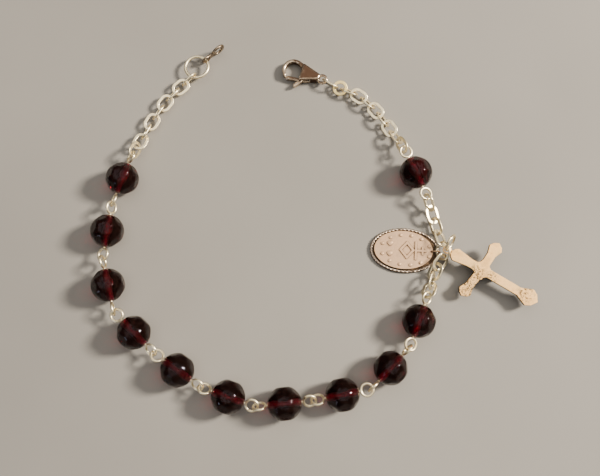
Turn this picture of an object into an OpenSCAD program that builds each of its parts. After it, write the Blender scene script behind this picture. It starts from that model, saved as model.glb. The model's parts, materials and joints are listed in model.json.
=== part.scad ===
// Rosary bracelet: eleven faceted glass beads on eyed wires, fine flat-link
// chain, an oval medal and a small cross, lying open on a flat surface.
// Millimetres. X runs along the loop's width, Y along its depth, Z is up.
// The lowest points stand on Z = 0 and the origin is under the middle.

/* [Beads] */
// Width of a bead across its side facets
bead_w = 5.7; // [5.4:0.1:5.9]
// Length of a bead along its hole
bead_l = 6.0; // [5.8:0.1:6.2]
// Diameter of the hole through a bead
bead_hole = 0.9; // [0.8:0.05:1.1]
// Facets in each row round a bead
bead_facets = 8; // [6, 8, 10]
// Diameter of the round bead that the facets are cut on
bead_round_d = 6.05; // [6.0:0.05:6.15]

/* [Wires] */
// Diameter of the wire through a bead
wire_d = 0.44; // [0.4:0.02:0.5]
// Outer diameter of the eye at each end of a wire
eye_d = 2.62; // [2.56:0.02:2.66]

/* [Chain] */
// Outer length of a chain link
link_l = 3.65; // [3.55:0.05:3.7]
// Outer width of a chain link
link_w = 2.7; // [2.6:0.05:2.8]
// Width of a link's flattened band
link_band = 0.56; // [0.5:0.02:0.6]
// Thickness of a link's flattened band
link_t = 0.28; // [0.22:0.02:0.3]
// Clear space where two links hook into each other
hook_gap = 0.17; // [0.15:0.01:0.18]

/* [Rings] */
// Outer diameter of the ring at the free end
end_ring_d = 5.0; // [4.8:0.1:5.2]
// Diameter of that ring's wire
end_ring_wire_d = 0.54; // [0.5:0.02:0.58]
// Outer diameter of the ring that carries the medal and the cross
centre_ring_d = 3.6; // [3.5:0.1:3.7]
// Outer diameter of the loose ring on the cross
cross_ring_d = 3.4; // [3.3:0.1:3.5]
// Outer diameter of the flat round ring near the clasp
round_ring_d = 2.9; // [2.8:0.1:3.0]
// Outer length of the oval ring in the clasp's eye
oval_ring_l = 3.6; // [3.5:0.1:3.8]
// Outer width of the oval ring in the clasp's eye
oval_ring_w = 2.6; // [2.5:0.1:2.8]
// Diameter of the wire that the other rings are bent from
ring_wire_d = 0.42; // [0.38:0.02:0.46]

/* [Medal] */
// Length of the medal's rim
medal_l = 12.2; // [12.0:0.1:12.4]
// Width of the medal's rim
medal_w = 8.3; // [8.1:0.1:8.5]
// Length of the raised face
face_l = 10.8; // [10.6:0.1:11.0]
// Width of the raised face
face_w = 7.1; // [6.9:0.1:7.3]
// Thickness of the rim
rim_t = 0.42; // [0.38:0.01:0.44]
// Thickness through rim and face
face_t = 1.0; // [0.95:0.05:1.1]
// Height of the raised ornament on the face
relief_h = 0.2; // [0.1:0.05:0.3]

/* [Cross] */
// Reach of the lower arm from the crossing
cross_foot = 11.4; // [11.2:0.1:11.8]
// Reach of the upper arm from the crossing
cross_head = 6.4; // [6.2:0.1:6.5]
// Reach of each side arm from the crossing
cross_side = 5.8; // [5.6:0.1:6.0]
// Width of the arms
cross_arm_w = 1.55; // [1.4:0.05:1.7]
// Thickness of the cross
cross_t = 0.9; // [0.8:0.1:1.1]

/* [Clasp] */
// Distance from the clasp's eye to the middle of its hook
clasp_reach = 5.9; // [5.8:0.1:6.0]
// Outer radius of the hook
hook_r = 2.15; // [2.1:0.05:2.2]
// Radius of the hook's opening
hook_hole_r = 1.6; // [1.5:0.05:1.65]
// Thickness of the housing
clasp_t = 1.9; // [1.8:0.1:2.0]
// Thickness of the hook
hook_t = 1.2; // [1.1:0.1:1.3]

/* [Hidden] */
$fn = 48;
function numbered(name, n) = str(name, n < 10 ? "_0" : "_", n);
BEADS = 11;

silver = [0.86, 0.83, 0.76];
dull_silver = [0.45, 0.4, 0.34];
garnet = [0.25, 0.03, 0.06];

// The string is a walk from the free end to the clasp. Each row is one
// piece, and two pieces hook into each other where two rows meet.
KIND = 0;      // what the piece is
HEADING = 1;   // direction that it points in, in degrees from +X
HEIGHT = 2;    // height of its far joint above the surface
SLACK = 3;     // how much nearer than taut its two joints are
ROLL = 4;      // lean of its near end about its own axis, 0 is flat
ROLL_FAR = 5;  // lean of its far eye, for a bead's wire
STRING = [
    ["link", 222, 1.25, 0.1, 80],
    ["link", 222, 1.25, 0.2, -12],
    ["link", 229, 1.25, 0.2, 60],
    ["link", 234, 1.25, 0.1, -12],
    ["link", 238, 1.25, 0.1, 60],
    ["link", 242, 1.25, 0.1, -10],
    ["link", 244, 1.36, 0.1, 62],
    ["link", 248, 1.85, 0.1, -2],
    ["link", 250, 2.85, 0.2, -60],
    ["bead", 251, 2.85, 0.2, 50, 60],
    ["bead", 263, 2.85, 0.1, -60, 30],
    ["bead", 285, 2.85, 0.3, -80, 85],
    ["bead", 316, 2.85, 0.0, 10, 45],
    ["bead", 325, 2.85, 0.1, -30, 45],
    ["bead", 341, 2.85, 0.2, -42, 25],
    ["bead", 366, 2.85, 0.2, -60, 35],
    ["bead", 371, 2.85, 0.1, -42, 4],
    ["bead", 406, 2.85, 0.4, 90, -78],
    ["bead", 429, 2.85, 0.4, 25, 45],
    ["link", 429, 2.1, 0.3, -35],
    ["link", 430, 1.6, 0.4, 62],
    ["link", 428, 1.8, 0.6, -35],
    ["link", 413, 1.93, 0.2, 30],
    ["centre_ring", 455, 2.08, 0.0, -54],
    ["link", 464, 1.5, 0.0, 40],
    ["link", 465, 1.4, 0.0, -52],
    ["link", 467, 1.9, 0.0, 22],
    ["link", 469, 2.85, 0.0, -68],
    ["bead", 473, 2.85, 0.4, 20, 10],
    ["link", 477, 2.0, 0.2, -60],
    ["link", 480, 1.4, 0.1, 45],
    ["link", 481, 1.2, 0.1, -18],
    ["link", 484, 1.2, 0.2, 56],
    ["link", 490, 1.2, 0.1, -12],
    ["link", 497, 1.2, 0.2, 56],
    ["link", 506, 1.2, 0.2, -12],
    ["link", 519, 1.2, 0.3, 56],
    ["round_ring", 519, 1.2, 0.0, -14],
    ["oval_ring", 509, 1.27, 0.0, 68]];
start = [-22.85, 29.21, 1.62];

// First row of each stretch of the string
END_CHAIN = 0;
FIRST_BEAD = 9;
LOWER_CHAIN = 19;
CENTRE_RING = 23;
UPPER_CHAIN = 24;
LAST_BEAD = 28;
CLASP_CHAIN = 29;
ROUND_RING = 37;
OVAL_RING = 38;

bead_eye_gap = 0.1;
eye_mid = (eye_d - wire_d) / 2;
eye_x = bead_l / 2 + bead_eye_gap + eye_d / 2;
pin_d = wire_d - 0.04;

// Length of a piece between its two joints
function outer_length(kind) =
    kind == "bead" ? bead_l + 2 * bead_eye_gap + 2 * eye_d :
    kind == "link" ? link_l :
    kind == "centre_ring" ? centre_ring_d :
    kind == "round_ring" ? round_ring_d : oval_ring_l;
function band(kind) =
    kind == "bead" ? wire_d :
    kind == "link" || kind == "round_ring" ? link_band : ring_wire_d;
function hold(kind) = outer_length(kind) - 2 * band(kind) - hook_gap;

function reach(row) = hold(row[KIND]) - row[SLACK];

function climb(row, from) = row[HEIGHT] - from[2];
function pitch(row, from) = asin(climb(row, from) / reach(row));
function along(heading, pitch) =
    [cos(heading) * cos(pitch), sin(heading) * cos(pitch), sin(pitch)];
function next_joint(row, from) =
    from + reach(row) * along(row[HEADING], pitch(row, from));

joints = [for (i = 0, p = start; i <= len(STRING);
    p = i < len(STRING) ? next_joint(STRING[i], p) : p, i = i + 1) p];

// Puts a piece that is drawn along +X about the origin into its row's place
flat_sag = 0.1;
function is_flat_link(row) =
    row[KIND] == "link" && abs(row[ROLL]) < 15 && row[HEIGHT] < 1.35;
module in_row(i) {
    row = STRING[i];
    sag = is_flat_link(row) ? flat_sag : 0;
    translate((joints[i] + joints[i + 1]) / 2 - [0, 0, sag])
        rotate([0, -pitch(row, joints[i]), row[HEADING]])
            children();
}

// Beads

module bead_solid() {
    step = 360 / bead_facets;
    big = 3 * bead_l;
    difference() {
        intersection() {
            intersection_for (k = [0:bead_facets / 2 - 1])
                rotate([k * step, 0, 0])
                    cube([bead_l, bead_w, big], center = true);
            intersection_for (k = [0:bead_facets - 1])
                rotate([(k + 0.5) * step, 0, 0])
                    rotate([0, 0, 45])
                        cube([bead_w + 0.1, big, big], center = true);
            sphere(d = bead_round_d);
        }
        rotate([0, 90, 0])
            cylinder(h = 2 * bead_l, d = bead_hole, center = true);
    }
}

function bead_row(n) = n == BEADS ? LAST_BEAD : FIRST_BEAD + n - 1;

module bead(n) {
    color(garnet) in_row(bead_row(n)) bead_solid();
}

module ring(outer_d, wire) {
    rotate_extrude()
        translate([(outer_d - wire) / 2, 0])
            circle(d = wire);
}

module bead_wire(n) {
    row = STRING[bead_row(n)];
    color(silver) in_row(bead_row(n)) {
        rotate([0, 90, 0])
            cylinder(h = 2 * (eye_x - eye_mid), d = pin_d, center = true);
        rotate([row[ROLL], 0, 0])
            translate([-eye_x, 0, 0])
                ring(eye_d, wire_d);
        rotate([row[ROLL_FAR], 0, 0])
            translate([eye_x, 0, 0])
                ring(eye_d, wire_d);
    }
}

// Chain

module oval(l, w) {
    square([l - w, w], center = true);
    for (side = [-1, 1])
        translate([side * (l - w) / 2, 0])
            circle(d = w);
}

module flat_link() {
    linear_extrude(link_t, center = true)
        difference() {
            oval(link_l, link_w);
            oval(link_l - 2 * link_band, link_w - 2 * link_band);
        }
}

module chain(first, last) {
    color(silver)
        for (i = [first:last])
            in_row(i)
                rotate([STRING[i][ROLL], 0, 0])
                    flat_link();
}

// Rings

module centre_ring() {
    color(silver) in_row(CENTRE_RING)
        rotate([STRING[CENTRE_RING][ROLL], 0, 0])
            ring(centre_ring_d, ring_wire_d);
}

module round_ring() {
    color(silver) in_row(ROUND_RING)
        rotate([STRING[ROUND_RING][ROLL], 0, 0])
            linear_extrude(link_t, center = true)
                difference() {
                    circle(d = round_ring_d);
                    circle(d = round_ring_d - 2 * link_band);
                }
}

module oval_ring() {
    straight = oval_ring_l - oval_ring_w;
    mid = (oval_ring_w - ring_wire_d) / 2;
    color(silver) in_row(OVAL_RING)
        rotate([STRING[OVAL_RING][ROLL], 0, 0]) {
            for (side = [-1, 1]) {
                translate([side * straight / 2, 0, 0])
                    rotate([0, 0, side * 90 - 180])
                        rotate_extrude(angle = 180)
                            translate([mid, 0])
                                circle(d = ring_wire_d);
                translate([0, side * mid, 0])
                    rotate([0, 90, 0])
                        cylinder(h = straight, d = ring_wire_d, center = true);
            }
        }
}

// Free end

// A point on the inside of a leaning ring, angle degrees round from its axis
function spoke(heading, lean, angle) =
    cos(angle) * [cos(heading), sin(heading), 0]
    + sin(angle) * [-sin(heading) * cos(lean), cos(heading) * cos(lean), sin(lean)];
hang_r = end_ring_d / 2 - end_ring_wire_d - hook_gap / 2;

end_ring_heading = 27;
end_ring_lean = -4;
chain_angle = 225;
tab_angle = 15;
end_ring_at = joints[0]
    - hang_r * spoke(end_ring_heading, end_ring_lean, chain_angle);

module end_ring() {
    color(silver)
        translate(end_ring_at)
            rotate([end_ring_lean, 0, end_ring_heading])
                ring(end_ring_d, end_ring_wire_d);
}

tab_heading = 38;
tab_lean = 96;
tab_drop = -7;
tab_t = 0.45;
tab_wall = 0.36;
tab_small_d = 2.1;
tab_big_d = 2.9;
tab_hole_d = 1.7;
tab_neck_w = 1.3;
tab_l = 5.3;
tab_at = end_ring_at
    + hang_r * spoke(end_ring_heading, end_ring_lean, tab_angle);

tab_small_x = tab_small_d / 2 - tab_wall - hook_gap / 2;
tab_big_x = tab_small_x - tab_small_d / 2 + tab_l - tab_big_d / 2;

module end_tab() {
    color(dull_silver)
        translate(tab_at)
            rotate([tab_lean, tab_drop, tab_heading])
                linear_extrude(tab_t, center = true)
                    difference() {
                        union() {
                            translate([tab_small_x, 0])
                                circle(d = tab_small_d);
                            translate([tab_small_x, -tab_neck_w / 2])
                                square([tab_big_x - tab_small_x, tab_neck_w]);
                            translate([tab_big_x, 0])
                                circle(d = tab_big_d);
                        }
                        translate([tab_small_x, 0])
                            circle(d = tab_small_d - 2 * tab_wall);
                        translate([tab_big_x, 0])
                            circle(d = tab_hole_d);
                    }
}

// Medal

medal_heading = 176;
medal_eye_d = 1.9;
medal_eye_wire = 0.28;
medal_eye_x = 0.2;
medal_near = 0.02;
medal_facets = 72;
rim_waves = 36;
rim_wave = 0.012;
low_side = 90;
centre_ring_at = (joints[CENTRE_RING] + joints[CENTRE_RING + 1]) / 2;
low_wire = centre_ring_at
    + (centre_ring_d - ring_wire_d) / 2 * spoke(STRING[CENTRE_RING][HEADING],
        STRING[CENTRE_RING][ROLL], low_side);

function ellipse(l, w, n, wave = 0, waves = 0) =
    [for (i = [0:n - 1]) let (a = i * 360 / n, r = 1 + wave * cos(waves * a))
        [r * l / 2 * cos(a), r * w / 2 * sin(a)]];

module medal() {
    color(silver)
        translate([low_wire[0], low_wire[1], 0])
            rotate(medal_heading) {
                translate([medal_eye_x, 0, medal_eye_d / 2 + 0.03])
                    rotate([90, 0, 0])
                        ring(medal_eye_d, medal_eye_wire);
                translate([medal_near + medal_l / 2, 0, 0])
                    rotate(180)
                        medal_disc();
            }
}

module medal_disc() {
    linear_extrude(rim_t)
        polygon(ellipse(medal_l, medal_w, medal_facets, rim_wave, rim_waves));
    linear_extrude(face_t)
        polygon(ellipse(face_l, face_w, medal_facets));
    translate([ornament_x, 0, 0])
        ornament();
}

// The raised ornament stands a little nearer the medal's eye
ornament_x = 0.4;

module ornament() {
    linear_extrude(face_t + relief_h) {
        lozenge();
        keepsake();
        for (side = [-1, 1])
            translate([-2.95, side * 0.95])
                heart();
    }
    studs();
}

// Turns round the face at which the small round studs sit, on each long half
stud_turns = [20, 52, 78, 103, 129, 160];
stud_d = 0.55;
stud_ring_l = 9.2;
stud_ring_w = 5.6;

module studs() {
    for (turn = stud_turns, side = [-1, 1])
        translate([stud_ring_l / 2 * cos(turn), side * stud_ring_w / 2 * sin(turn), 0])
            cylinder(h = face_t + relief_h, d = stud_d, $fn = 16);
}

lozenge_x = 0.2;
lozenge_l = 2.9;
lozenge_w = 3.4;
line_w = 0.36;

module rhombus(l, w) {
    polygon([[l / 2, 0], [0, w / 2], [-l / 2, 0], [0, -w / 2]]);
}

module lozenge() {
    translate([lozenge_x, 0])
        difference() {
            rhombus(lozenge_l, lozenge_w);
            rhombus(lozenge_l - 3 * line_w, lozenge_w - 3.5 * line_w);
        }
}

// A bar across the face that carries a small plain cross
bar_x = 1.85;
bar_w = 3.5;
small_cross_l = 2.0;
small_cross_w = 1.5;

module keepsake() {
    translate([bar_x, 0])
        square([line_w, bar_w], center = true);
    translate([bar_x, -line_w / 2])
        square([small_cross_l, line_w]);
    translate([bar_x + 0.62 * small_cross_l, 0])
        square([line_w, small_cross_w], center = true);
}

heart_lobe_d = 0.6;

module heart() {
    rotate(45) {
        square(heart_lobe_d, center = true);
        translate([heart_lobe_d / 2, 0])
            circle(d = heart_lobe_d, $fn = 16);
        translate([0, heart_lobe_d / 2])
            circle(d = heart_lobe_d, $fn = 16);
    }
}

// Cross and its ring

cross_ring_heading = 56;
cross_ring_lean = -109;
cross_ring_at = centre_ring_at + [1.19, 1.29, 1.15];

module cross_ring() {
    color(silver)
        translate(cross_ring_at)
            rotate([cross_ring_lean, 0, cross_ring_heading])
                ring(cross_ring_d, ring_wire_d);
}

cross_heading = -31;
cross_lean = 7;
cross_rise = -1;
cross_eye_d = 1.5;
cross_eye_hole_d = 0.98;
cross_eye_t = 0.3;
cross_eye_to_head = 0.75;
cross_eye_clear_d = 1.8;
cross_neck_l = 1.4;
cross_neck_w = 0.8;
cross_at = centre_ring_at + [0.63, 0.09, 0.57];
crossing_x = cross_head + cross_eye_to_head;
// Reach, length of the flare, length of the point and width of each arm's end
foot = [cross_foot, 2.1, 1.7, 3.3];
head = [cross_head, 2.8, 1.0, 2.4];
left_arm = [cross_side, 1.4, 1.2, 2.5];
right_arm = [cross_side + 0.2, 1.4, 1.0, 2.5];
left_turn = 87;
right_turn = -98;

function half_arm(end, side) =
    let (reach = end[0], flare = end[1], point = end[2], half_w = end[3] / 2)
    [[0, side * cross_arm_w / 2],
     [reach - point - flare, side * cross_arm_w / 2],
     [reach - point, side * half_w],
     [reach - 0.45 * point, side * 0.68 * half_w]];
function arm(end) = concat(half_arm(end, 1), [[end[0], 0]],
    [for (i = [3:-1:0]) half_arm(end, -1)[i]]);

module cross_outline() {
    fillet_r = 0.9;
    corner = cross_arm_w / 2 + fillet_r;
    polygon(arm(foot));
    rotate(180)
        polygon(arm(head));
    rotate(left_turn)
        polygon(arm(left_arm));
    rotate(right_turn)
        polygon(arm(right_arm));
    difference() {
        square(2 * corner, center = true);
        for (x = [-corner, corner], y = [-corner, corner])
            translate([x, y])
                circle(r = fillet_r);
    }
}

// The side that faces down has one plain rib for the cross to lie on
rib_l = 6.0;
rib_w = 1.0;
rib_h = 1.88;
rib_x = crossing_x + 0.5;

module cross() {
    color(silver)
        translate(cross_at)
            rotate([cross_lean, -cross_rise, cross_heading])
                difference() {
                    union() {
                        linear_extrude(cross_eye_t, center = true) {
                            circle(d = cross_eye_d);
                            translate([0, -cross_neck_w / 2])
                                square([cross_neck_l, cross_neck_w]);
                        }
                        linear_extrude(cross_t, center = true)
                            difference() {
                                translate([crossing_x, 0])
                                    cross_outline();
                                circle(d = cross_eye_clear_d);
                            }
                        translate([rib_x, 0, -cross_t / 2 - rib_h])
                            linear_extrude(rib_h + cross_t / 2)
                                oval(rib_l, rib_w);
                    }
                    cylinder(h = 2 * cross_t, d = cross_eye_hole_d, center = true);
                }
}

// Clasp

clasp_heading = 161;
clasp_drop = 3.4;
clasp_eye_d = 2.0;
clasp_eye_hole_d = 1.2;
clasp_eye_t = 0.4;
clasp_eye_x = (clasp_eye_hole_d - hook_gap) / 2;
hook_x = clasp_eye_x + clasp_reach;
tail_x = 1.55;
tail_r = 0.6;
housing_end_x = 4.7;
pivot = [3.7, 0.55];
pivot_d = 0.5;
lever_bore_d = 0.6;
lever_hub_d = 1.4;
lever_t = 0.7;
lever_elbow = [4.55, 1.55];
lever_tip = [6.95, 1.72];
lever_w = 0.62;
thumb_tip = [5.2, 2.9];
thumb_root = [4.3, 1.6];
thumb_w = 0.6;
slot_t = 0.84;
slot_start = [2.85, -0.3];
lever_reach = norm(lever_tip - pivot) + lever_w / 2;
tip_gap = 0.12;

// Two round ends and the straight sides that touch them both
module teardrop(x1, r1, x2, r2) {
    slope = (r2 - r1) / (x2 - x1);
    side = sqrt(1 - slope * slope);
    translate([x1, 0])
        circle(r = r1);
    translate([x2, 0])
        circle(r = r2);
    polygon([[x1 - r1 * slope, -r1 * side], [x2 - r2 * slope, -r2 * side],
        [x2 - r2 * slope, r2 * side], [x1 - r1 * slope, r1 * side]]);
}

module bar(from, to, w) {
    run = to - from;
    translate(from)
        rotate(atan2(run[1], run[0])) {
            translate([0, -w / 2])
                square([norm(run), w]);
            circle(d = w);
            translate([norm(run), 0])
                circle(d = w);
        }
}

module clasp_outline() {
    teardrop(tail_x, tail_r, hook_x, hook_r);
}

module in_clasp() {
    translate(joints[len(STRING)])
        rotate([0, clasp_drop, clasp_heading])
            children();
}

module clasp_body() {
    far = 3 * hook_r;
    color(dull_silver) in_clasp() {
        difference() {
            union() {
                linear_extrude(clasp_t, center = true)
                    intersection() {
                        clasp_outline();
                        translate([0, -far])
                            square([housing_end_x, 2 * far]);
                    }
                linear_extrude(hook_t, center = true)
                    difference() {
                        clasp_outline();
                        translate([hook_x, 0])
                            circle(r = hook_hole_r);
                    }
                linear_extrude(clasp_eye_t, center = true)
                    translate([clasp_eye_x, 0])
                        circle(d = clasp_eye_d);
            }
            translate([clasp_eye_x, 0, 0])
                cylinder(h = 2 * clasp_t, d = clasp_eye_hole_d, center = true);
            translate([slot_start[0], slot_start[1], -slot_t / 2])
                cube([hook_x - slot_start[0], far, slot_t]);
            linear_extrude(2 * clasp_t, center = true)
                hook_mouth();
        }
        translate([pivot[0], pivot[1], 0])
            cylinder(h = clasp_t - 0.2, d = pivot_d, center = true);
    }
}

// What is cut away between the housing and the hook's tip, round the pivot
module hook_mouth() {
    far = 3 * hook_r;
    intersection() {
        translate(pivot)
            circle(r = lever_reach + tip_gap);
        translate([housing_end_x, pivot[1]])
            square([far, far]);
    }
}

module clasp_lever() {
    color(dull_silver) in_clasp()
        linear_extrude(lever_t, center = true)
            difference() {
                union() {
                    translate(pivot)
                        circle(d = lever_hub_d);
                    bar(pivot, lever_elbow, lever_w);
                    bar(lever_elbow, lever_tip, lever_w);
                    bar(thumb_root, thumb_tip, thumb_w);
                    bar(thumb_root, lever_elbow, lever_w);
                }
                translate(pivot)
                    circle(d = lever_bore_d);
            }
}

chain(END_CHAIN, FIRST_BEAD - 1);  // end_chain
for (n = [1:BEADS]) {
    bead(n);
    bead_wire(n);
}
chain(LOWER_CHAIN, CENTRE_RING - 1);  // lower_centre_chain
centre_ring();
chain(UPPER_CHAIN, LAST_BEAD - 1);  // upper_centre_chain
chain(CLASP_CHAIN, ROUND_RING - 1);  // clasp_chain
round_ring();
oval_ring();
end_ring();
end_tab();
medal();
cross_ring();
cross();
clasp_body();
clasp_lever();
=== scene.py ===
import json
import math

import bpy
import bmesh
import numpy as np
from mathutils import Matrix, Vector

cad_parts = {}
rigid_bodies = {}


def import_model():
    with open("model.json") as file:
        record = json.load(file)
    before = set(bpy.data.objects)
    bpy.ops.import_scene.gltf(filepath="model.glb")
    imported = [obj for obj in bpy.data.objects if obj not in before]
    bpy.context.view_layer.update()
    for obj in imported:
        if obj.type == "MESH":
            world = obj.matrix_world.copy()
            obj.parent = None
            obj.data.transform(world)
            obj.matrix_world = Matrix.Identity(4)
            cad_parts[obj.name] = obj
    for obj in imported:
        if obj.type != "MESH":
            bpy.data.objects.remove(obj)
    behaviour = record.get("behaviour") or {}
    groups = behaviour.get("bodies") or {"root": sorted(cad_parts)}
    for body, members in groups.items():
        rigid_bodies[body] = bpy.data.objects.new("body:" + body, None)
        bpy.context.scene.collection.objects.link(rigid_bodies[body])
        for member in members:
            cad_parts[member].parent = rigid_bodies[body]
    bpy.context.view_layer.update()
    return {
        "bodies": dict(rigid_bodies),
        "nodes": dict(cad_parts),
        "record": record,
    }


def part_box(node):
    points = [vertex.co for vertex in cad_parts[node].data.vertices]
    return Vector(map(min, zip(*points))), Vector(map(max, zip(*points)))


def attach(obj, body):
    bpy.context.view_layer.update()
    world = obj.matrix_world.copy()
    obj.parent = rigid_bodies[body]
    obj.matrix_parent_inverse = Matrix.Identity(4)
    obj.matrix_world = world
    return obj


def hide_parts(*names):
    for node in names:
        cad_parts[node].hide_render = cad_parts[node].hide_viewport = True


# The look of the rosary bracelet: worn plated metal and dark red glass, a
# plain floor, soft light and a camera. Metres, Z up, in the solids' frame.

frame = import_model()
NODES = frame["nodes"]
MM = 0.001
BODY_OF = {n: b for b, obj in frame["bodies"].items() for n in NODES if NODES[n].parent == obj}
SLOT_OF = {s["node"]: s["material_slot"] for s in frame["record"]["subparts"]}


# Shader helpers

def new_material(name):
    mat = bpy.data.materials.new(name)
    mat.use_nodes = True
    nt = mat.node_tree
    nt.nodes.clear()
    out = nt.nodes.new("ShaderNodeOutputMaterial")
    return mat, nt, out


def add(nt, kind, inputs=None, **settings):
    n = nt.nodes.new(kind)
    for k, v in settings.items():
        setattr(n, k, v)
    for k, v in (inputs or {}).items():
        if isinstance(v, bpy.types.NodeSocket):
            nt.links.new(v, n.inputs[k])
        else:
            n.inputs[k].default_value = v
    return n


def noise(nt, where, scale, detail=4.0, rough=0.55):
    n = add(nt, "ShaderNodeTexNoise", {
        "Vector": where, "Scale": scale, "Detail": detail, "Roughness": rough})
    return n.outputs["Fac"]


def ramp(nt, value, stops):
    n = add(nt, "ShaderNodeValToRGB", {"Fac": value})
    r = n.color_ramp
    while len(r.elements) < len(stops):
        r.elements.new(0.5)
    for e, (pos, col) in zip(r.elements, stops):
        e.position = pos
        e.color = (*col, 1)
    return n.outputs["Color"]


def grey(v):
    return (v, v, v)


def mix(nt, fac, a, b, mode="MIX"):
    n = add(nt, "ShaderNodeMix", data_type="RGBA", blend_type=mode)
    for k, v in ((0, fac), (6, a), (7, b)):
        if isinstance(v, bpy.types.NodeSocket):
            nt.links.new(v, n.inputs[k])
        else:
            n.inputs[k].default_value = v if k == 0 else (*v, 1)
    return n.outputs[2]


def maths(nt, op, a, b=0.5, clamp=False):
    return add(nt, "ShaderNodeMath", {0: a, 1: b}, operation=op, use_clamp=clamp).outputs[0]


def between(nt, value, low, high):
    """0 below low, 1 above high; the other way round if low is larger."""
    n = add(nt, "ShaderNodeMapRange", {0: value, 1: low, 2: high},
            interpolation_type="SMOOTHSTEP", clamp=True)
    return n.outputs[0]


def height_of(nt, p):
    return add(nt, "ShaderNodeSeparateXYZ", {0: p}).outputs[2]


def near(nt, p, spot, inner, outer):
    """1 within inner of a spot in the frame, 0 beyond outer."""
    d = add(nt, "ShaderNodeVectorMath", {0: p, 1: spot}, operation="DISTANCE").outputs["Value"]
    return between(nt, d, outer, inner)


# Kinds of material

# Where a noise starts to count and where it counts in full
PATCH_RANGE = (0.48, 0.66)
SPECK_RANGE = (0.49, 0.55)
FILM_RANGE = (0.62, 0.40)
SCUFF_RANGE = (0.35, 0.75)
# Cosine between the surface and its rounded normal, at an edge and away from it
EDGE_RANGE = (0.93, 0.999)
SPECK_GRAIN = 2300.0
DIRT_AND_SHADE_ROUGH = 0.55
SCRATCH_DEPTH = 0.03 * MM
SCUFF_DEPTH = 0.02 * MM
FILM_COVER = 0.035
GLASS_DENSITY = 1650.0
BORE_CLEAR = 0.45


def metal(name, bright, dark, rough=0.3, dirt=0.5, grain=900.0, bump=0.12,
          crease_shade=(0.4 * MM, 0.72, 0.75), side_shade=0.0, low_dark=None, edge_wear_and_highlight=0.0, spots=()):
    """Worn plate: bright on the open faces and dark in patches, with painted shade
    in the creases and on steep faces. crease = (reach, from, strength) of the
    painted shade in the creases, side_shade = strength of the painted shade on
    steep faces, low_dark = (from, to) darkens whatever lies lower, rubbed = width
    of the bright edges of a piece that is dark all over, edges bright partly from
    wear and partly as a painted highlight, spots = [(place, inner, outer)] are
    speckled patches."""
    mat, nt, out = new_material(name)
    geometry = add(nt, "ShaderNodeNewGeometry")
    p = geometry.outputs["Position"]
    patches = noise(nt, p, grain, 6.0, 0.6)
    fine = noise(nt, p, grain * 6, 3.0, 0.6)
    reach, from_open, strength = crease_shade
    # Painted shade: the creases are darkened by how closed in the surface is.
    closed = add(nt, "ShaderNodeAmbientOcclusion", {"Distance": reach}, samples=8,
                 only_local=True).outputs["AO"]
    dirt_and_shade = maths(nt, "MULTIPLY", between(nt, patches, *PATCH_RANGE), dirt, True)
    painted_crease_shade = maths(nt, "MULTIPLY", between(nt, closed, from_open, from_open - 0.4), strength)
    dirt_and_shade = maths(nt, "MAXIMUM", dirt_and_shade, painted_crease_shade)
    shape = geometry.outputs["Normal"]
    # Bright edges on a dark piece: partly wear, partly a painted highlight.
    if edge_wear_and_highlight:
        round_edge = add(nt, "ShaderNodeBevel", {"Radius": edge_wear_and_highlight}, samples=6).outputs[0]
        turn = add(nt, "ShaderNodeVectorMath", {0: round_edge, 1: geometry.outputs["True Normal"]},
                   operation="DOT_PRODUCT")
        inside = between(nt, turn.outputs["Value"], *EDGE_RANGE)
        film = maths(nt, "ADD", between(nt, patches, *FILM_RANGE), 0.45)
        dirt_and_shade = maths(nt, "MULTIPLY", inside, film, True)
        shape = round_edge
    # Painted shade: faces that turn away from up are darkened.
    if side_shade:
        up = add(nt, "ShaderNodeSeparateXYZ", {0: geometry.outputs["Normal"]}).outputs[2]
        side = maths(nt, "MULTIPLY", between(nt, up, 0.7, 0.25), side_shade)
        dirt_and_shade = maths(nt, "MAXIMUM", dirt_and_shade, side)
    if low_dark:
        wave = maths(nt, "MULTIPLY", maths(nt, "SUBTRACT", patches, 0.5), 0.5 * MM)
        wavy = maths(nt, "ADD", height_of(nt, p), wave)
        low = maths(nt, "MULTIPLY", between(nt, wavy, low_dark[1], low_dark[0]), 0.95)
        dirt_and_shade = maths(nt, "MAXIMUM", dirt_and_shade, low)
    for place, inner, outer in spots:
        speck = between(nt, noise(nt, p, SPECK_GRAIN, 8.0, 0.85), *SPECK_RANGE)
        speck = maths(nt, "MULTIPLY", speck, near(nt, p, place, inner, outer))
        dirt_and_shade = maths(nt, "MAXIMUM", dirt_and_shade, speck)
    colour = mix(nt, dirt_and_shade, bright, dark)
    colour = mix(nt, 0.15, colour, ramp(nt, fine, [(0.3, grey(0.3)), (0.7, grey(1))]), "MULTIPLY")
    worn = ramp(nt, patches, [(0.3, grey(rough * 0.8)), (0.75, grey(min(1, rough * 1.6)))])
    roughness = mix(nt, dirt_and_shade, worn, grey(DIRT_AND_SHADE_ROUGH))
    normal = add(nt, "ShaderNodeBump", {
        "Strength": bump, "Distance": SCRATCH_DEPTH, "Height": fine,
        "Normal": shape}).outputs["Normal"]
    shader = add(nt, "ShaderNodeBsdfPrincipled", {
        "Base Color": colour, "Metallic": 1.0, "Roughness": roughness, "Normal": normal})
    nt.links.new(shader.outputs[0], out.inputs[0])
    return mat


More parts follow.
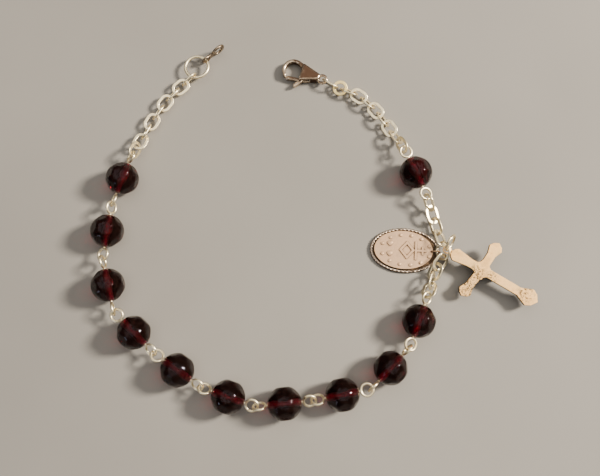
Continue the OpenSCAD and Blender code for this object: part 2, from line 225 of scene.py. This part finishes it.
def garnet():
    """Clear dark red glass: the colour is in its depth, so thin edges are lighter."""
    mat, nt, out = new_material("garnet_glass")
    p = add(nt, "ShaderNodeNewGeometry").outputs["Position"]
    scuff = noise(nt, p, 2600.0, 5.0, 0.7)
    rough = ramp(nt, scuff, [(0.5, grey(0.03)), (0.72, grey(0.16))])
    normal = add(nt, "ShaderNodeBump", {
        "Strength": 0.05, "Distance": SCUFF_DEPTH, "Height": scuff}).outputs["Normal"]
    glass = add(nt, "ShaderNodeBsdfPrincipled", {
        "Base Color": (0.60, 0.38, 0.36, 1), "Roughness": rough, "IOR": 1.45,
        "Specular Tint": (0.25, 0.22, 0.26, 1), "Transmission Weight": 1.0, "Normal": normal})
    film = add(nt, "ShaderNodeBsdfDiffuse", {"Color": (0.42, 0.20, 0.15, 1), "Normal": normal})
    cover = maths(nt, "MULTIPLY", between(nt, scuff, *SCUFF_RANGE), FILM_COVER)
    both = add(nt, "ShaderNodeMixShader", {0: cover, 1: glass.outputs[0], 2: film.outputs[0]})
    nt.links.new(both.outputs[0], out.inputs["Surface"])
    depth = add(nt, "ShaderNodeVolumeAbsorption", {
        "Color": (0.76, 0.29, 0.50, 1), "Density": GLASS_DENSITY})
    nt.links.new(depth.outputs[0], out.inputs["Volume"])
    return mat


def bore_wall():
    """The drilled wall is frosted and catches the light inside the dark glass."""
    mat, nt, out = new_material("bore_wall")
    p = add(nt, "ShaderNodeNewGeometry").outputs["Position"]
    streak = noise(nt, p, 1500.0, 4.0, 0.6)
    colour = ramp(nt, streak, [(0.35, (0.27, 0.14, 0.21)), (0.7, (0.54, 0.38, 0.42))])
    frost = add(nt, "ShaderNodeBsdfPrincipled", {"Base Color": colour, "Roughness": 0.6})
    clear = add(nt, "ShaderNodeBsdfTransparent")
    both = add(nt, "ShaderNodeMixShader", {0: BORE_CLEAR, 1: frost.outputs[0], 2: clear.outputs[0]})
    nt.links.new(both.outputs[0], out.inputs[0])
    return mat


# Where flat pieces lie

def flat_frame(node, keep):
    """Middle and heading of a flat piece, from those of its points that keep() takes."""
    pts = np.array([v.co for v in NODES[node].data.vertices])
    pts = pts[[keep(v) for v in pts]]
    mid = (pts.min(0) + pts.max(0)) / 2
    flat = pts[:, :2] - pts[:, :2].mean(0)
    way = np.linalg.eigh(flat.T @ flat)[1][:, 1]
    return Vector(mid), Vector((way[0], way[1], 0))


CROSS_LOW = 1.2 * MM
CROSS_MID, CROSS_WAY = flat_frame("cross", lambda v: v[2] > CROSS_LOW)
if CROSS_WAY.x < 0:
    CROSS_WAY = -CROSS_WAY
CROSS_TURN = math.atan2(CROSS_WAY.y, CROSS_WAY.x)


def cross_place(along, across):
    """A point on the cross, in millimetres from the middle towards its foot and to its left."""
    c, s = math.cos(CROSS_TURN), math.sin(CROSS_TURN)
    return CROSS_MID + Vector((along * c - across * s, along * s + across * c, 0)) * MM


# The materials in use

SILVER = metal("silver_wire", (1.0, 0.86, 0.57), (0.20, 0.13, 0.07), rough=0.30, dirt=0.2)
GOLD = metal("gold_ring", (1.0, 0.78, 0.35), (0.25, 0.16, 0.06), rough=0.42, dirt=0.15)
# The clasp's bright edges are partly wear and partly a painted highlight.
CLASP = metal("dull_clasp", (0.90, 0.71, 0.50), (0.11, 0.062, 0.038), rough=0.2,
              grain=260.0, bump=0.04, edge_wear_and_highlight=0.5 * MM)
# The medal gets painted shade in its creases and on its steep faces.
MEDAL = metal("medal_silver", (0.66, 0.42, 0.25), (0.05, 0.031, 0.018), rough=0.34, dirt=0.15,
              grain=520.0, bump=0.3, crease_shade=(0.6 * MM, 0.9, 0.9), side_shade=0.9,
              low_dark=(0.42 * MM, 0.62 * MM))
# The cross gets painted shade on its steep faces; its speckled spots are tarnish.
CROSS = metal("cross_silver", (1.0, 0.63, 0.26), (0.05, 0.03, 0.018), rough=0.48, dirt=0.2,
              grain=480.0, bump=0.35, side_shade=0.9, spots=[
                  (cross_place(-2.2, -1.1), 0.8 * MM, 2.2 * MM),
                  (cross_place(-2.6, -4.2), 1.2 * MM, 3.0 * MM),
                  (cross_place(0.4, -0.6), 0.5 * MM, 1.8 * MM),
                  (cross_place(7.2, 0), 0.8 * MM, 2.2 * MM)])
# The upright end tab is painted darker than the other metal: painted shade.
SHADED_TAB = metal("shaded_tab", (0.34, 0.26, 0.18), (0.07, 0.048, 0.03), rough=0.3, dirt=0.9, grain=700.0)
# The rope gets painted shade in its creases.
ROPE = metal("medal_rope", (0.72, 0.56, 0.43), (0.05, 0.033, 0.02), rough=0.3, dirt=0.8,
             grain=520.0, crease_shade=(0.5 * MM, 0.95, 0.95), low_dark=(0.30 * MM, 0.66 * MM))
GARNET = garnet()
BORE = bore_wall()

SLOTS = {"silver_wire": SILVER, "cast_silver": MEDAL, "gold_ring": GOLD,
         "dull_clasp": CLASP, "garnet_glass": GARNET}
OWN = {"cross": CROSS, "end_tab": SHADED_TAB}
for name, obj in NODES.items():
    obj.data.materials.clear()
    obj.data.materials.append(OWN.get(name, SLOTS[SLOT_OF[name]]))


# Pieces that replace solids

def piece(name, mesh, node):
    obj = bpy.data.objects.new(name, mesh)
    bpy.context.scene.collection.objects.link(obj)
    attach(obj, BODY_OF[node])
    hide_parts(node)
    return obj


def closed_grid(rows, spokes):
    """Faces between rows of points that close both ways."""
    faces = []
    for i in range(rows):
        j = (i + 1) % rows
        for k in range(spokes):
            m = (k + 1) % spokes
            faces.append((i * spokes + k, j * spokes + k, j * spokes + m, i * spokes + m))
    return faces


WELD = 0.002 * MM
FLAT_WITHIN = math.radians(2)
SHARP_FROM = math.radians(35)


def rounded(node, width, segments):
    """A copy of the solid whose sharp edges are worn round."""
    mesh = NODES[node].data.copy()
    bm = bmesh.new()
    bm.from_mesh(mesh)
    bmesh.ops.remove_doubles(bm, verts=bm.verts, dist=WELD)
    bmesh.ops.dissolve_limit(bm, angle_limit=FLAT_WITHIN, verts=bm.verts, edges=bm.edges)
    bm.to_mesh(mesh)
    bm.free()
    obj = piece(node + "_worn", mesh, node)
    bevel = obj.modifiers.new("worn_edges", "BEVEL")
    bevel.width = width
    bevel.segments = segments
    bevel.limit_method = "ANGLE"
    bevel.angle_limit = SHARP_FROM
    bevel.use_clamp_overlap = True
    bevel.harden_normals = False
    obj.data.shade_smooth()
    obj.modifiers.new("flat_faces", "WEIGHTED_NORMAL").keep_sharp = False


# The beads' glass: facets and hole of the solid, with the edges a little soft

BORE_R = 0.45 * MM
# A facet lies this far from the middle or further, and is this large or larger
FACET_FROM = 2.5 * MM
FACET_AREA = 0.8 * MM * MM
# Cosine between the normals of faces that are one facet
SAME_PLANE = 0.9995
# How sharp the edges between facets are
SOFTNESS = 150.0
RINGS = 72
SPOKES = 120
BORE_RINGS = 6


def bead_axes(node, wire):
    """Middle of the bead, direction of its hole, and the facets round it."""
    low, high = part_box(node)
    mid = np.array((low + high) / 2)
    pts = np.array([v.co for v in NODES[wire].data.vertices])
    pts -= (pts.min(0) + pts.max(0)) / 2
    planes = []
    for poly in NODES[node].data.polygons:
        n = np.array(poly.normal)
        d = float(n @ (np.array(poly.center) - mid))
        if d < FACET_FROM:
            continue
        same = next((f for f in planes if n @ f[0] > SAME_PLANE), None)
        if same:
            same[2] += poly.area
        else:
            planes.append([n, d, poly.area])
    facets = [(n, d) for n, d, size in planes if size > FACET_AREA]
    across = np.linalg.eigh(pts.T @ pts)[1]
    return mid, across[:, 2], facets


def bead(node, wire):
    mid, axis, facets = bead_axes(node, wire)
    across = next(m for m, _ in facets if abs(m @ axis) < 0.1)
    third = np.cross(axis, across)
    normals = np.array([m / d for m, d in facets])
    corners = np.array([v.co for v in NODES[node].data.vertices]) - mid
    ball = np.max(np.linalg.norm(corners, axis=1))

    def reach(way):
        """From the middle to the surface: the nearest facet, or the ball it was cut from."""
        lean = np.clip(normals @ way, 0, None) * ball
        return ball * (np.sum(lean ** SOFTNESS) + 1) ** (-1 / SOFTNESS)

    def round_axis(turn):
        return math.cos(turn) * across + math.sin(turn) * third

    rim = math.asin(BORE_R / reach(axis))
    verts = []
    for i in range(RINGS):
        tilt = rim + (math.pi - 2 * rim) * i / (RINGS - 1)
        for k in range(SPOKES):
            outward = round_axis(2 * math.pi * k / SPOKES)
            way = math.cos(tilt) * axis + math.sin(tilt) * outward
            verts.append(mid + reach(way) * way)
    end = reach(axis) * math.cos(rim)
    for i in range(BORE_RINGS):
        x = -end + 2 * end * (i + 0.5) / BORE_RINGS
        for k in range(SPOKES):
            verts.append(mid + x * axis + BORE_R * round_axis(2 * math.pi * k / SPOKES))
    mesh = bpy.data.meshes.new(node + "_glass")
    mesh.from_pydata([Vector(v) for v in verts], [], closed_grid(RINGS + BORE_RINGS, SPOKES))
    mesh.materials.append(GARNET)
    mesh.materials.append(BORE)
    for f in mesh.polygons:
        f.material_index = 1 if f.index >= (RINGS - 1) * SPOKES else 0
        f.use_smooth = True
    mesh.update()
    return piece(node + "_glass", mesh, node)


# Width and steps of the worn edges
BAND_EDGE = (0.09 * MM, 2)
WORN_EDGES = {"medal": (0.1 * MM, 2), "cross": (0.16 * MM, 3), "clasp_body": (0.26 * MM, 4),
              "clasp_lever": (0.16 * MM, 3), "end_tab": (0.16 * MM, 3), "round_ring": BAND_EDGE}

for n in sorted(NODES):
    if n.startswith("bead_") and not n.startswith("bead_wire"):
        bead(n, n.replace("bead_", "bead_wire_"))
    elif n in WORN_EDGES or n.endswith("_chain"):
        rounded(n, *WORN_EDGES.get(n, BAND_EDGE))
    else:
        NODES[n].data.shade_smooth()


# The rope border that is cast on the medal's rim

ROPE_TURNS = 52
ROPE_STEPS = 8
ROPE_SIDES = 12
# Radius and depth of the twist, in millimetres
ROPE_R = 0.21
ROPE_FLUTE = 0.055
ROPE_INSET = 0.27 * MM
RIM_EDGE = (0.3 * MM, 0.5 * MM)


def rope_border():
    def on_rim(v):
        return RIM_EDGE[0] < v[2] < RIM_EDGE[1]

    mid, way = flat_frame("medal", on_rim)
    across = Vector((-way.y, way.x, 0))
    pts = [v.co - mid for v in NODES["medal"].data.vertices if on_rim(v.co)]
    half_l = max(p.dot(way) for p in pts) - ROPE_INSET
    half_w = max(p.dot(across) for p in pts) - ROPE_INSET
    steps = ROPE_TURNS * ROPE_STEPS
    verts = []
    for i in range(steps):
        a = 2 * math.pi * i / steps
        spot = mid + way * half_l * math.cos(a) + across * half_w * math.sin(a)
        out = (way * half_w * math.cos(a) + across * half_l * math.sin(a)).normalized()
        for k in range(ROPE_SIDES):
            b = 2 * math.pi * k / ROPE_SIDES
            r = (ROPE_R + ROPE_FLUTE * math.cos(2 * b + ROPE_TURNS * a)) * MM
            verts.append(spot + out * r * math.cos(b) + Vector((0, 0, r * math.sin(b))))
    mesh = bpy.data.meshes.new("medal_rope")
    mesh.from_pydata(verts, [], closed_grid(steps, ROPE_SIDES))
    mesh.materials.append(ROPE)
    mesh.shade_smooth()
    mesh.update()
    obj = bpy.data.objects.new("medal_rope", mesh)
    bpy.context.scene.collection.objects.link(obj)
    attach(obj, BODY_OF["medal"])


rope_border()


# Floor, light and camera

FLOOR_SIZE = 3.0
FLOOR_BUMP = 0.1 * MM


def floor_material():
    mat, nt, out = new_material("pale_floor")
    p = add(nt, "ShaderNodeNewGeometry").outputs["Position"]
    broad = noise(nt, p, 14.0, 3.0)
    fine = noise(nt, p, 420.0, 5.0, 0.7)
    colour = ramp(nt, broad, [(0.3, (0.228, 0.210, 0.184)), (0.7, (0.265, 0.245, 0.216))])
    normal = add(nt, "ShaderNodeBump", {
        "Strength": 0.08, "Distance": FLOOR_BUMP, "Height": fine}).outputs["Normal"]
    shader = add(nt, "ShaderNodeBsdfPrincipled", {
        "Base Color": colour, "Roughness": 0.85, "Normal": normal})
    nt.links.new(shader.outputs[0], out.inputs[0])
    return mat


bpy.ops.mesh.primitive_grid_add(x_subdivisions=8, y_subdivisions=8, size=FLOOR_SIZE,
                                location=(0, 0, 0))
floor = bpy.context.object
floor.name = "floor"
floor.data.materials.append(floor_material())

FOCUS = Vector((-2.25, -3.08, 3.0)) * MM
TILT = math.radians(11)
DISTANCE = 124 * MM
FOCAL_PIXELS = 680.0
PHOTO_WIDTH = 600.0
SENSOR = 36.0
cam_data = bpy.data.cameras.new("camera")
cam = bpy.data.objects.new("camera", cam_data)
bpy.context.scene.collection.objects.link(cam)
back = Vector((0, -math.sin(TILT), math.cos(TILT)))
cam.location = FOCUS + back * DISTANCE
cam.rotation_euler = (TILT, 0, 0)
cam_data.sensor_width = SENSOR
cam_data.lens = FOCAL_PIXELS / PHOTO_WIDTH * SENSOR
cam_data.clip_start = 5 * MM
cam_data.clip_end = 10
bpy.context.scene.camera = cam


def lamp(name, direction, distance, size, power, colour):
    data = bpy.data.lights.new(name, "AREA")
    data.shape = "DISK"
    data.size = size
    data.energy = power
    data.color = colour
    o = bpy.data.objects.new(name, data)
    bpy.context.scene.collection.objects.link(o)
    d = Vector(direction).normalized()
    o.location = d * distance
    o.rotation_euler = d.to_track_quat("Z", "Y").to_euler()


def toward(azimuth, elevation):
    a, e = math.radians(azimuth), math.radians(elevation)
    return (math.cos(a) * math.cos(e), math.sin(a) * math.cos(e), math.sin(e))


lamp("key", toward(14, 37), 0.6, 0.12, 10.5, (1.0, 0.92, 0.80))
lamp("overhead", toward(90, 79), 0.8, 1.25, 6.6, (1.0, 0.96, 0.90))
lamp("window", toward(222, 16), 0.8, 0.3, 0.9, (0.72, 0.82, 1.0))

world = bpy.data.worlds.new("studio")
world.use_nodes = True
bpy.context.scene.world = world
background = world.node_tree.nodes["Background"]
background.inputs[0].default_value = (0.75, 0.75, 0.78, 1)
background.inputs[1].default_value = 0.1
